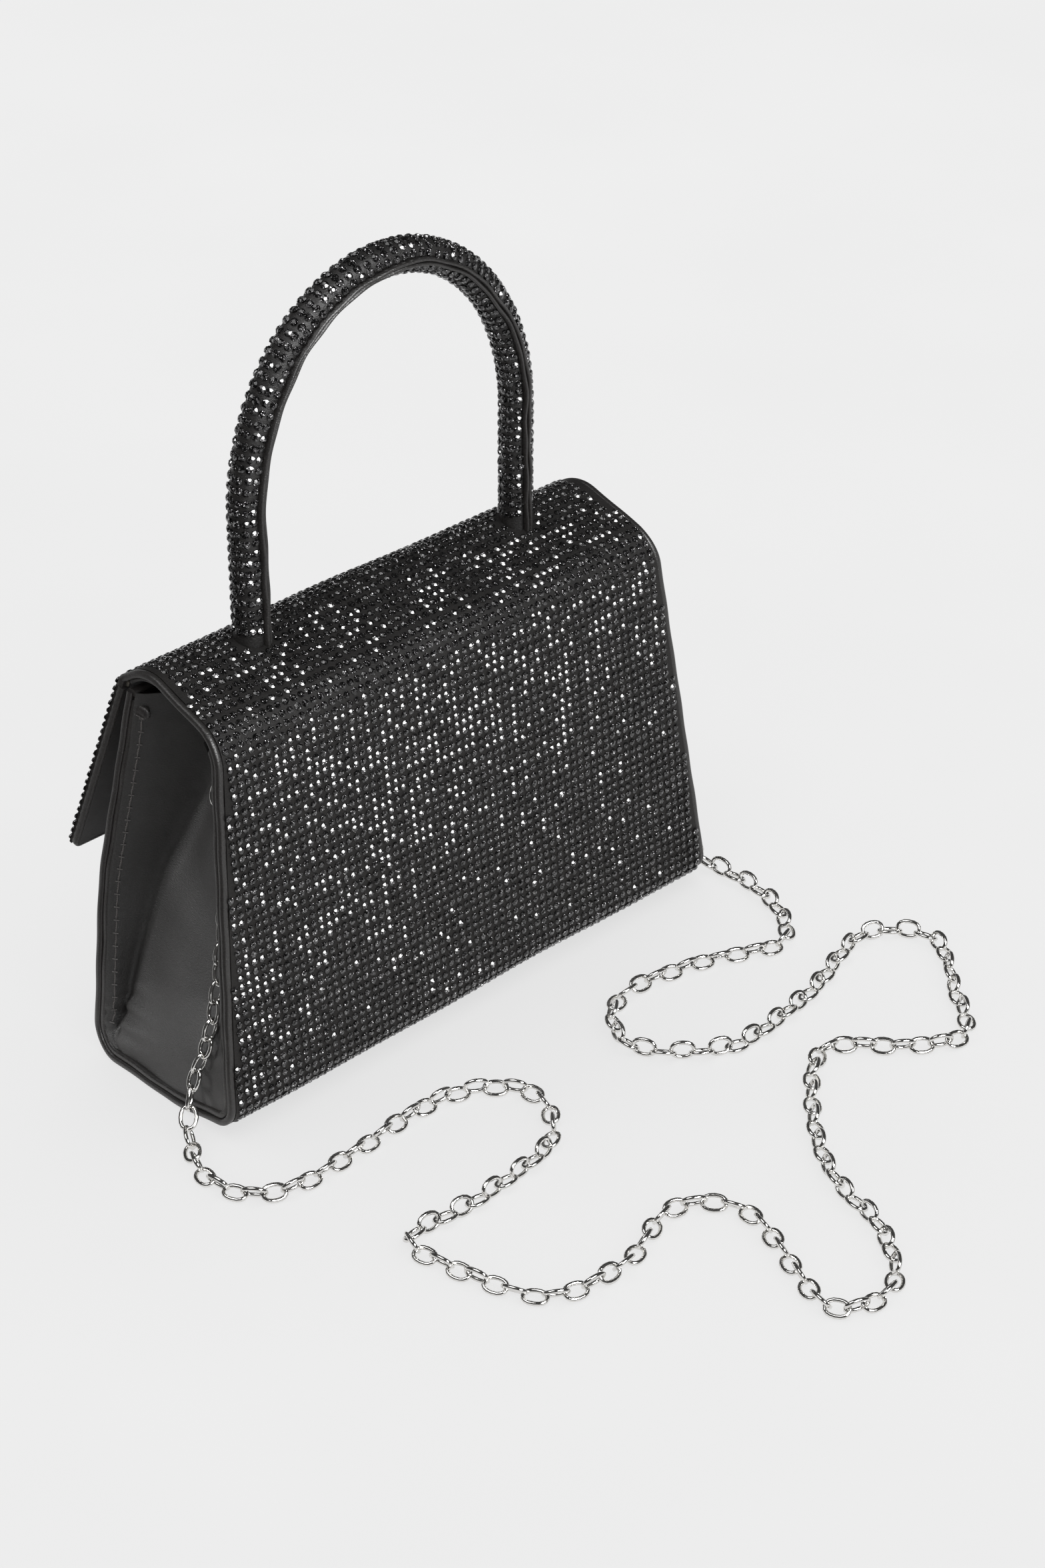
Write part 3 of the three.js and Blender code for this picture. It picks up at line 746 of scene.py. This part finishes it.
def add_flap_bead():
    """The satin edge down both ends of the flap and along its bottom, in one piece."""
    corner = 1.3
    bottom = FLAP_LENGTH - FLAP_BEAD_INSET
    v = np.linspace(HINGE_REACH, bottom - corner, 50)
    edge_at = half_width(FLAP.at(np.array([bottom - corner]))[0, 1]) - FLAP_BEAD_INSET
    side = np.stack([half_width(FLAP.at(v)[:, 1]) - FLAP_BEAD_INSET, v], -1)
    turn = np.linspace(0, math.pi / 2, 10)[1:]
    bend = np.stack([edge_at - corner + corner * np.cos(turn), bottom - corner + corner * np.sin(turn)], -1)
    right = np.concatenate([side, bend])
    along = np.linspace(right[-1, 0], -right[-1, 0], 110)[1:-1]
    path = np.concatenate([right, np.stack([along, bottom + 0 * along], -1), right[::-1] * [-1, 1]])
    yz = FLAP.at(path[:, 1], FLAP_BEAD_DEPTH)
    centres = in_space(path[:, 0], yz)
    up = in_space(0, FLAP.normal_at(path[:, 1]))
    tangent = unit(np.gradient(centres, axis=0))
    across = unit(np.cross(tangent, up))
    parts = sweep(centres, across, up, FLAP_BEAD)
    make_object("flap_bead", parts, "satin", "flap", replaces=["flap_edge"])


# ---------------------------------------------------------------- stitches

def stitch_row(points, outward, along_step=STITCH_PITCH, radius=0.3, tick=0.85):
    """Stitches along a row of points (n, 3): a long stitch, then a small tick across, and so on."""
    walked = walk(points)
    outward = np.broadcast_to(outward, points.shape)
    parts = []
    for start in np.arange(1.0, walked[-1] - along_step, along_step):
        marks = np.linspace(start + 0.35, start + along_step - 0.35, 6)
        centres = np.stack([np.interp(marks, walked, points[:, i]) for i in range(3)], -1)
        up = unit(np.stack([np.interp(marks, walked, outward[:, i]) for i in range(3)], -1))
        tangent = unit(np.gradient(centres, axis=0))
        across = unit(np.cross(tangent, up))
        lift = 0.16 * np.sin(np.linspace(0, math.pi, 6))[:, None]
        taper = np.array([0.55, 0.95, 1, 1, 0.95, 0.55])[:, None, None]
        parts.append(sweep(centres + up * lift, across, up, circle(radius, 6) * taper))
        reach = np.linspace(-tick, tick, 4)[:, None]
        bar = centres[0] - tangent[0] * 0.35 + across[0] * reach + up[0] * 0.12
        parts.append(sweep(bar, tangent[0], up[0], circle(0.21, 6)))
    return join(parts)


# ---------------------------------------------------------------- gussets

def smooth(value, start, end):
    t = np.clip((value - start) / (end - start), 0, 1)
    return t * t * (3 - 2 * t)


def gusset_walls(z):
    """The Y of the front and back seams at a height."""
    s = np.linspace(0, OUTLINE.length, 2400)
    inner = OUTLINE.at(s, GUSSET_SEAM)
    middle = s[np.argmin(np.abs(inner[:, 0] - 8) + (inner[:, 1] > 60) * 1e3)]
    back = inner[(s > LID_END - 8) & (s < middle)]
    front = inner[s > middle]
    return (
        np.interp(z, front[:, 1], front[:, 0]),
        np.interp(z, back[::-1, 1], back[::-1, 0]),
    )


def gusset_section(z):
    """The gusset cloth's line at a height: how far in from the end, and Y, from front to back."""
    front, back = gusset_walls(z)
    width = back - front
    depth = np.interp(z, FOLD_HEIGHTS, FOLD_DEPTHS)
    flat = GUSSET_FLAT
    fold = max(np.interp(z, FOLD_HEIGHTS, FOLD_SHARES) * width, flat + 0.28 * depth)
    rest = width - fold
    corners = np.array([
        (0.8, 0.2), (1.4, 1.3), (2.5, flat), (2.0 + 0.50 * depth, flat + 0.42 * (fold - flat)),
        (1.8 + 0.90 * depth, flat + 0.86 * (fold - flat)), (1.2 + 0.97 * depth, fold + 0.07 * rest),
        (1.2 + 0.82 * depth, fold + 0.36 * rest), (1.2 + 0.70 * depth, fold + 0.66 * rest),
        (1.2 + 0.58 * depth, width - 6.5), (1.2 + 0.22 * depth, width - 2.0), (1.0, width - 0.2),
    ])
    line = catmull_rom(corners, 5)
    inward, across = line[:, 0], line[:, 1]
    lower_fold = np.interp(across / width, (0, 0.25, 1), LOWER_FOLD)
    opened = smooth(z - lower_fold, -9.0, 13.0)
    opened = np.where(across < 2 * flat, np.maximum(opened, smooth(z, 6, 14)), opened)
    return 1.0 + (inward - 1.0) * opened, front + across


def gusset_folds(z, y):
    """Wrinkles of the gusset cloth, in millimetres inwards."""
    front, back = gusset_walls(z)
    share = (y - front) / (back - front)
    body = smooth(share, 0.08, 0.3) * smooth(1 - share, 0.02, 0.2)
    slow = 0.7 * np.sin(z / 17.0 + share * 3.1) * np.sin(share * 4.0 + z / 40.0)
    small = 0.22 * np.sin(z / 5.1 + share * 7.0) * np.sin(z / 13.0)
    corner = np.exp(-((z - 15) / 7.0) ** 2) * np.exp(-((share - 0.14) / 0.16) ** 2)
    radiating = 0.75 * corner * np.sin(1.1 * (z - 8.0) - 8.0 * share)
    pulled = 0.5 + 0.5 * np.cos(2 * math.pi * z / STITCH_PITCH)
    stitches = 0.28 * np.exp(-((y - front - GUSSET_FLAT) / 1.0) ** 2) * pulled
    return body * (slow + small) + radiating + stitches


def add_gussets():
    z_rows = np.linspace(GUSSET_SEAM + 0.15, GUSSET_TOP, 112)
    inward, y_rows = (np.array(v) for v in zip(*(gusset_section(z) for z in z_rows)))
    inward = inward + gusset_folds(z_rows[:, None], y_rows)
    roof_s = np.linspace(0, LID_END + 4, 60)
    roof = OUTLINE.at(roof_s, WALL + 0.9)
    room = np.interp(y_rows, roof[:, 0], roof[:, 1]) - GUSSET_TOP
    z_grid = z_rows[:, None] + np.clip(room, -1.5, 3.4) * smooth(z_rows, 112, GUSSET_TOP)[:, None]
    seam_column = 10  # the third of the section's corners, at five points a span
    for word, side in SIDES:
        outer = np.stack([side * (half_width(z_rows)[:, None] - inward), y_rows, z_grid], -1)
        inner = outer - np.array([side * 0.7, 0, 0])
        parts = slab(outer, inner)
        cloth = make_object("gusset_" + word, parts, "gusset", "shell",
                            replaces=["gusset_front_" + word, "gusset_back_" + word])
        s_back = OUTLINE.where(lambda y, z: y > 20 and z < GUSSET_TOP + 1.5, after=LID_END)
        parts = end_bar(OUTLINE, s_back, OUTLINE.length - 1.5, side, RIDGE, 0.12, True)
        ridge = make_object("gusset_ridge_" + word, parts, "satin", "shell")
        seam = outer[6:-3, seam_column]
        parts = stitch_row(seam, [0.7 * side, 0.7, 0.0])
        stitches = make_object("gusset_stitches_" + word, parts, "thread", "shell")
        add_gusset_cap(word, side)


def add_gusset_cap(word, side):
    """The small folded and stitched end of the gusset's front seam."""
    top = OUTLINE.at(np.array([OUTLINE.length - 5.5]))[0]
    x = side * (float(half_width(top[1])) - 1.9)
    y = np.linspace(top[0] + 3.4, top[0] + 9.2, 9)
    centres = np.stack([x - side * 0.12 * (y - y[0]), y, top[1] - 0.1 * (y - y[0])], -1)
    size = np.array([0.4, 0.85, 1, 1, 0.97, 1, 1, 0.85, 0.4])[:, None, None]
    parts = sweep(centres, [side, 0.0, 0.0], [0.0, 0.0, 1.0], rounded_section(1.15, 2.0) * size)
    make_object("gusset_cap_" + word, parts, "satin", "shell")
    row = np.stack([centres[:, 0] + side * 1.1, y, centres[:, 2] - 1.5], -1)
    parts = stitch_row(row, [side, 0.0, 0.0], 1.9, 0.16, 0.3)
    make_object("gusset_cap_stitches_" + word, parts, "thread", "shell")


# ---------------------------------------------------------------- handle

def handle_path(step):
    """Points along the handle's centre line, with the direction along it and the direction outwards."""
    leg = np.linspace(HANDLE_FOOT, HANDLE_SPRING, 60)
    turn = np.linspace(0, math.pi, 400)
    rise = HANDLE_APEX - HANDLE_SPRING
    arch = np.stack([HANDLE_HALF_SPAN * np.cos(turn), HANDLE_SPRING + rise * np.sin(turn)], -1)
    right = np.stack([0 * leg + HANDLE_HALF_SPAN, leg], -1)
    xz = np.concatenate([right[:-1], arch, right[::-1][1:] * [-1, 1]])
    walked = walk(xz)
    s = np.linspace(0, walked[-1], int(walked[-1] / step) + 1)
    xz = np.stack([np.interp(s, walked, xz[:, i]) for i in (0, 1)], -1)
    tangent = unit(np.gradient(xz, axis=0))
    centres = np.stack([xz[:, 0] + HANDLE_SHIFT, 0 * s + HANDLE_Y, xz[:, 1]], -1)
    along = np.stack([tangent[:, 0], 0 * s, tangent[:, 1]], -1)
    outwards = np.stack([tangent[:, 1], 0 * s, -tangent[:, 0]], -1)
    return s, centres, along, outwards


def around_handle(outwards, angle):
    """Directions out of the handle's centre line, turned from the back (+Y) towards the inside."""
    angle = np.asarray(angle)[..., None]
    return np.array([0.0, 1.0, 0.0]) * np.cos(angle) - outwards * np.sin(angle)


def seam_angle(s, length):
    """Where the seam lies round the handle: it wanders a little on its way over."""
    first, last = SEAM_LEAN
    return first + (last - first) * smooth(s, 0, length) + 0.05 * np.sin(s / 9.0) + 0.03 * np.sin(s / 4.1)


def add_handle():
    s, centres, along, outwards = handle_path(1.3)
    seam = seam_angle(s, s[-1])
    turn = np.linspace(0, 2 * math.pi, 36, endpoint=False)
    angle = seam[:, None] + turn[None]
    away = np.minimum(turn, 2 * math.pi - turn)[None]
    radius = HANDLE_RADIUS - 1.3 * np.exp(-(away / 0.14) ** 2)
    radius = radius + 0.10 * np.sin(s / 3.1)[:, None] * np.sin(2 * angle) + 0.06 * np.sin(s / 1.9)[:, None]
    grid = centres[:, None] + around_handle(outwards[:, None], angle) * radius[..., None]
    make_object("handle_satin", tube(grid), "streaked", "lid",
                replaces=["handle_cover"])

    lips = []
    for lean, phase in ((0.115, 0.4), (-0.115, 2.0)):
        place = seam + lean + 0.022 * np.sin(s / 2.3 + phase)
        direction = around_handle(outwards, place)
        lip = centres + direction * (HANDLE_RADIUS + 0.45 + 0.12 * np.sin(s / 2.7 + phase))[:, None]
        lips.append(sweep(lip, np.cross(along, direction), direction, rounded_section(0.62, 1.25, 12, 0.9)))
    make_object("handle_seam", join(lips), "satin", "lid",
                replaces=["handle_piping"], sample=len(lips[0][1]))
    right_end, left_end = (np.array([[side * CORE_SPAN, HANDLE_Y, CORE_FOOT]]) for side in (1, -1))
    cord = np.concatenate([right_end, centres, left_end])
    frames = np.concatenate([outwards[:1], outwards, outwards[-1:]])
    parts = sweep(cord, [0.0, 1.0, 0.0], frames, circle(CORE_RADIUS, 14))
    make_object("handle_cord", parts, "rope", "lid", replaces=["handle_core"])
    add_handle_stones()


def add_handle_stones():
    s, centres, along, outwards = handle_path(HANDLE_PITCH)
    keep = centres[:, 2] > 141.2
    gap = (2 * math.pi - 2 * SEAM_HALF) / HANDLE_COLUMNS
    columns = SEAM_HALF + (np.arange(HANDLE_COLUMNS) + 0.5) * gap
    count = keep.sum()
    angle = seam_angle(s, s[-1])[keep, None] + columns[None] + rng.normal(0, 0.03, (count, HANDLE_COLUMNS))
    shift = rng.normal(0, 0.14, (count, HANDLE_COLUMNS, 1))
    direction = around_handle(outwards[keep, None], angle)
    place = centres[keep, None] + direction * HANDLE_RADIUS + along[keep, None] * shift
    grain = np.broadcast_to(along[keep, None], place.shape)
    add_stones("handle_stones", place.reshape(-1, 3), direction.reshape(-1, 3), grain.reshape(-1, 3),
               "lid", tilt=5, scale=1.1)


# ---------------------------------------------------------------- inside

def dress(node, material):
    """Gives a CAD node that stays a better material."""
    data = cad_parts[node].data
    data.materials.clear()
    data.materials.append(MATERIALS[material])


def add_slip_pocket():
    """A soft patch pocket on the back's lining, a little open at its top."""
    low, high = (np.array(corner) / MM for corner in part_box("slip_pocket"))
    start = OUTLINE.where(lambda y, z: y > 20 and z < high[2], after=LID_END)
    end = OUTLINE.where(lambda y, z: y > 20 and z < low[2], after=LID_END)
    s = np.linspace(start, end, 40)
    x = np.linspace(low[0], high[0], 60)
    open_top = smooth(end - s, 0.55 * (end - start), end - start)[:, None]
    middle = (1 - (2 * (x - low[0]) / (high[0] - low[0]) - 1) ** 2)[None]
    sag = 2.2 * open_top * middle + 0.12 * np.sin(x / 4.0)[None] * np.sin(s / 6.0)[:, None]
    s_grid, x_grid = np.broadcast_to(s[:, None], sag.shape), np.broadcast_to(x[None], sag.shape)
    near = cover_points(OUTLINE, s_grid, x_grid, WALL + 0.35 + sag)
    far = cover_points(OUTLINE, s_grid, x_grid, WALL + 1.0 + sag)
    parts = slab(near, far)
    cloth = make_object("slip_pocket_cloth", parts, "lining", "shell",
                        replaces=["slip_pocket"])
    parts = sweep(far[0], [0.0, 1.0, 0.0], [0.0, 0.0, 1.0], rounded_section(0.7, 1.1, 10))
    hem = make_object("slip_pocket_hem", parts, "lining", "shell")


def add_flap_stitches():
    """The row of stitches just above the flap's bottom edge, on the lining."""
    x = np.linspace(-84, 84, 120)
    yz = FLAP.at(np.full(len(x), FLAP_LENGTH - EDGE - 1.6), WALL)
    outward = in_space(0, -FLAP.normal_at(FLAP_LENGTH - 4))
    parts = stitch_row(in_space(x, yz), outward, 3.6, 0.17, 0.3)
    make_object("flap_stitches", parts, "thread", "flap")


def add_inside():
    for node in ("back_board", "base_board", "front_board", "lid_board", "flap_board"):
        dress(node, "board")
    for word, _ in SIDES:
        dress("handle_washer_" + word, "steel")
        dress("d_ring_tab_" + word, "satin")
    for node in ("snap_socket", "snap_post"):
        dress(node, "steel")
    add_slip_pocket()
    add_flap_stitches()


# ---------------------------------------------------------------- chain

def catmull_rom(points, per_span):
    """Points on a centripetal curve through some points, in the plane or in space."""
    points = np.array(points, float)
    ends = [2 * points[0] - points[1], 2 * points[-1] - points[-2]]
    padded = np.vstack([ends[0], points, ends[1]])
    result = []
    for i in range(1, len(padded) - 2):
        p0, p1, p2, p3 = padded[i - 1:i + 3]
        d0, d1, d2 = (max(np.linalg.norm(b - a) ** 0.5, 1e-6) for a, b in ((p0, p1), (p1, p2), (p2, p3)))
        t1 = ((p1 - p0) / d0 - (p2 - p0) / (d0 + d1) + (p2 - p1) / d1) * d1
        t2 = ((p2 - p1) / d1 - (p3 - p1) / (d1 + d2) + (p3 - p2) / d2) * d1
        for t in np.arange(per_span) / per_span:
            result.append(
                p1 + t1 * t + (3 * (p2 - p1) - 2 * t1 - t2) * t ** 2 + (2 * (p1 - p2) + t1 + t2) * t ** 3
            )
    result.append(points[-1])
    return np.array(result)


def resample(points, count):
    walked = walk(points)
    marks = np.linspace(0, walked[-1], count)
    return np.stack([np.interp(marks, walked, points[:, i]) for i in range(3)], -1), walked[-1]


def link_shape(steps=16, sides=7):
    """An oval wire link in its own (long, wide) plane: points and faces."""
    half_long = LINK_LENGTH / 2 - LINK_WIRE
    half_wide = LINK_WIDTH / 2 - LINK_WIRE
    t = np.arange(steps) * 2 * math.pi / steps
    centre = np.stack([
        half_long * np.sign(np.cos(t)) * np.abs(np.cos(t)) ** 0.9,
        half_wide * np.sign(np.sin(t)) * np.abs(np.sin(t)) ** 0.85,
        0 * t,
    ], -1)
    tangent = unit(np.roll(centre, -1, 0) - np.roll(centre, 1, 0))
    out = np.cross(tangent, [0, 0, 1.0])
    section = circle(LINK_WIRE, sides)
    return sweep(centre, out, [0, 0, 1.0], section, ring=True)


def add_chain():
    route = catmull_rom(CHAIN_ROUTE, 24)
    route[:, 2] = np.maximum(route[:, 2], CHAIN_FLOOR)
    total = resample(route, 2)[1] / MM
    links = int(round(total / CHAIN_PITCH))
    ends, length = resample(route, links + 1)
    ends = ends / MM
    shape, shape_faces = link_shape()
    parts = []
    for i in range(links):
        centre = (ends[i] + ends[i + 1]) / 2
        along = unit(ends[i + 1] - ends[i])
        level = unit(np.cross([0, 0, 1.0], along)) if abs(along[2]) < 0.9 else np.array([0, 1.0, 0])
        rise = np.cross(along, level)
        lying = centre[2] < 6
        lean = rng.normal(0, 0.16) + (0.4 if i % 2 else -1.05) if lying else (0.15 if i % 2 else 1.5)
        wide = level * math.cos(lean) + rise * math.sin(lean)
        up = np.cross(along, wide)
        reach = math.hypot(
            along[2] * (LINK_LENGTH / 2 - LINK_WIRE), wide[2] * (LINK_WIDTH / 2 - LINK_WIRE)
        ) + LINK_WIRE + 0.05
        if lying or centre[2] < reach:
            centre = centre + np.array([0, 0, reach - centre[2]])
        parts.append((
            centre + along * shape[:, 0:1] + wide * shape[:, 1:2] + up * shape[:, 2:3], shape_faces
        ))
    parts = join(parts)
    chain = make_object("chain", parts, "nickel", "shell",
                        replaces=["chain_strap"], sample=len(shape_faces))
    for word, _ in SIDES:
        add_ring("end_ring_" + word, "chain_end_ring_" + word, "x", 3.4, 0.72)
        add_ring("dee_" + word, "d_ring_" + word, "y", 6.0, 0.88)


def add_ring(name, node, axis, radius, wire):
    """A round wire ring in the place of its CAD node."""
    low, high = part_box(node)
    centre = (np.array(low) + np.array(high)) / 2 / MM
    t = np.linspace(0, 2 * math.pi, 40, endpoint=False)
    first, second = (np.eye(3)[1], np.eye(3)[2]) if axis == "x" else (np.eye(3)[0], np.eye(3)[2])
    flat_top = radius * 0.77 if axis == "y" else radius  # a D-ring's straight bar lies under its tab
    out = first * np.cos(t)[:, None] + second * np.sin(t)[:, None]
    centres = centre + out * radius
    centres[:, 2] = np.minimum(centres[:, 2], centre[2] + flat_top)
    parts = sweep(centres, out, np.cross(first, second), circle(wire, 12), ring=True)
    return make_object(name, parts, "nickel", "shell", replaces=[node])


# ---------------------------------------------------------------- stage

GUSSET_LAMP = (1.0, -0.58, 0.42)
GUSSET_LAMP_RADIANCE = 14.0
FLOOR_GLOW = 0.8  # the share of the floor's brightness that comes from within, as on a light table
FLOOR = [(-6.0, -6.0), (0.75, -6.0), (0.75, 1.2), (-6.0, 1.2)]
# Corners (x, y) of the black card beside the bag's near end, which only glossy surfaces see
BLACK_CARD = [
    (0.132, -0.02), (0.165, -0.05), (0.165, -0.5), (1.2, -0.5), (1.2, 0.5), (0.4, 0.3), (0.132, 0.1),
]
WORLD_WHITE = 1.0
WORLD_GLOSS = 0.06
# Softboxes: name, place, width and height in metres, turn about their axis, radiance
SOFTBOXES = [
    ("sparkle", (0.0, 0.94, 0.88), 0.80, 0.40, math.radians(30), 22.0),
    ("overhead", (0.6, -0.2, 1.6), 1.0, 1.0, 0.0, 2.6),
]


def make_stage():
    """A white studio that glossy surfaces see as dark, but for its softboxes."""
    world = bpy.data.worlds.new("studio")
    world.use_nodes = True
    nodes, links = world.node_tree.nodes, world.node_tree.links
    white = nodes["Background"]
    white.inputs["Color"].default_value = (1.0, 1.0, 1.0, 1)
    white.inputs["Strength"].default_value = WORLD_WHITE
    dark = nodes.new("ShaderNodeBackground")
    dark.inputs["Color"].default_value = (1.0, 0.99, 0.98, 1)
    dark.inputs["Strength"].default_value = WORLD_GLOSS
    path = nodes.new("ShaderNodeLightPath")
    mix = nodes.new("ShaderNodeMixShader")
    links.new(path.outputs["Is Glossy Ray"], mix.inputs["Fac"])
    links.new(white.outputs["Background"], mix.inputs[1])
    links.new(dark.outputs["Background"], mix.inputs[2])
    links.new(mix.outputs["Shader"], nodes["World Output"].inputs["Surface"])
    bpy.context.scene.world = world
    bpy.context.scene.view_settings.view_transform = "Standard"

    add_backdrop("floor", FLOOR, -0.0002)
    card = add_backdrop("card", BLACK_CARD, 0.0003, "black_card")
    card.visible_camera = card.visible_diffuse = card.visible_shadow = False

    for name, place, width, height, turn, radiance in SOFTBOXES:
        add_light(name, Vector(place), width, height, turn, radiance)

    # A lamp that lights only the gussets, by light linking
    lamp = add_light("gusset_lamp", Vector(GUSSET_LAMP), 0.35, 0.35, 0.0, GUSSET_LAMP_RADIANCE, True)
    gussets = bpy.data.collections.new("gussets")
    for name in ("gusset_right", "gusset_left"):
        gussets.objects.link(bpy.data.objects[name])
    lamp.light_linking.receiver_collection = gussets


def add_backdrop(material, corners, height, name=None):
    """A flat sheet of the stage."""
    mesh = bpy.data.meshes.new(name or material)
    mesh.from_pydata([(x, y, height) for x, y in corners], [], [tuple(range(len(corners)))])
    mesh.materials.append(MATERIALS[material])
    sheet = placed(name or material, mesh)
    return sheet


def add_light(name, place, width, height, turn, radiance, on_matte=False):
    """A softbox aimed at the middle of the bag. Matte surfaces see it only if on_matte says so."""
    data = bpy.data.lights.new(name, "AREA")
    data.shape = "RECTANGLE"
    data.size, data.size_y = width, height
    data.energy = radiance * math.pi * width * height
    light = placed(name, data)
    light.location = place
    light.rotation_mode = "QUATERNION"
    aim = (Vector((0, 0.03, 0.1)) - place).to_track_quat("-Z", "Y")
    light.rotation_quaternion = aim @ Matrix.Rotation(turn, 3, "Z").to_quaternion()
    light.visible_diffuse = on_matte
    light.visible_camera = False
    return light


# ---------------------------------------------------------------- build

make_camera()
make_materials()
add_chain()
add_walls()
add_edges()
add_gussets()
add_handle()
add_inside()
make_stage()
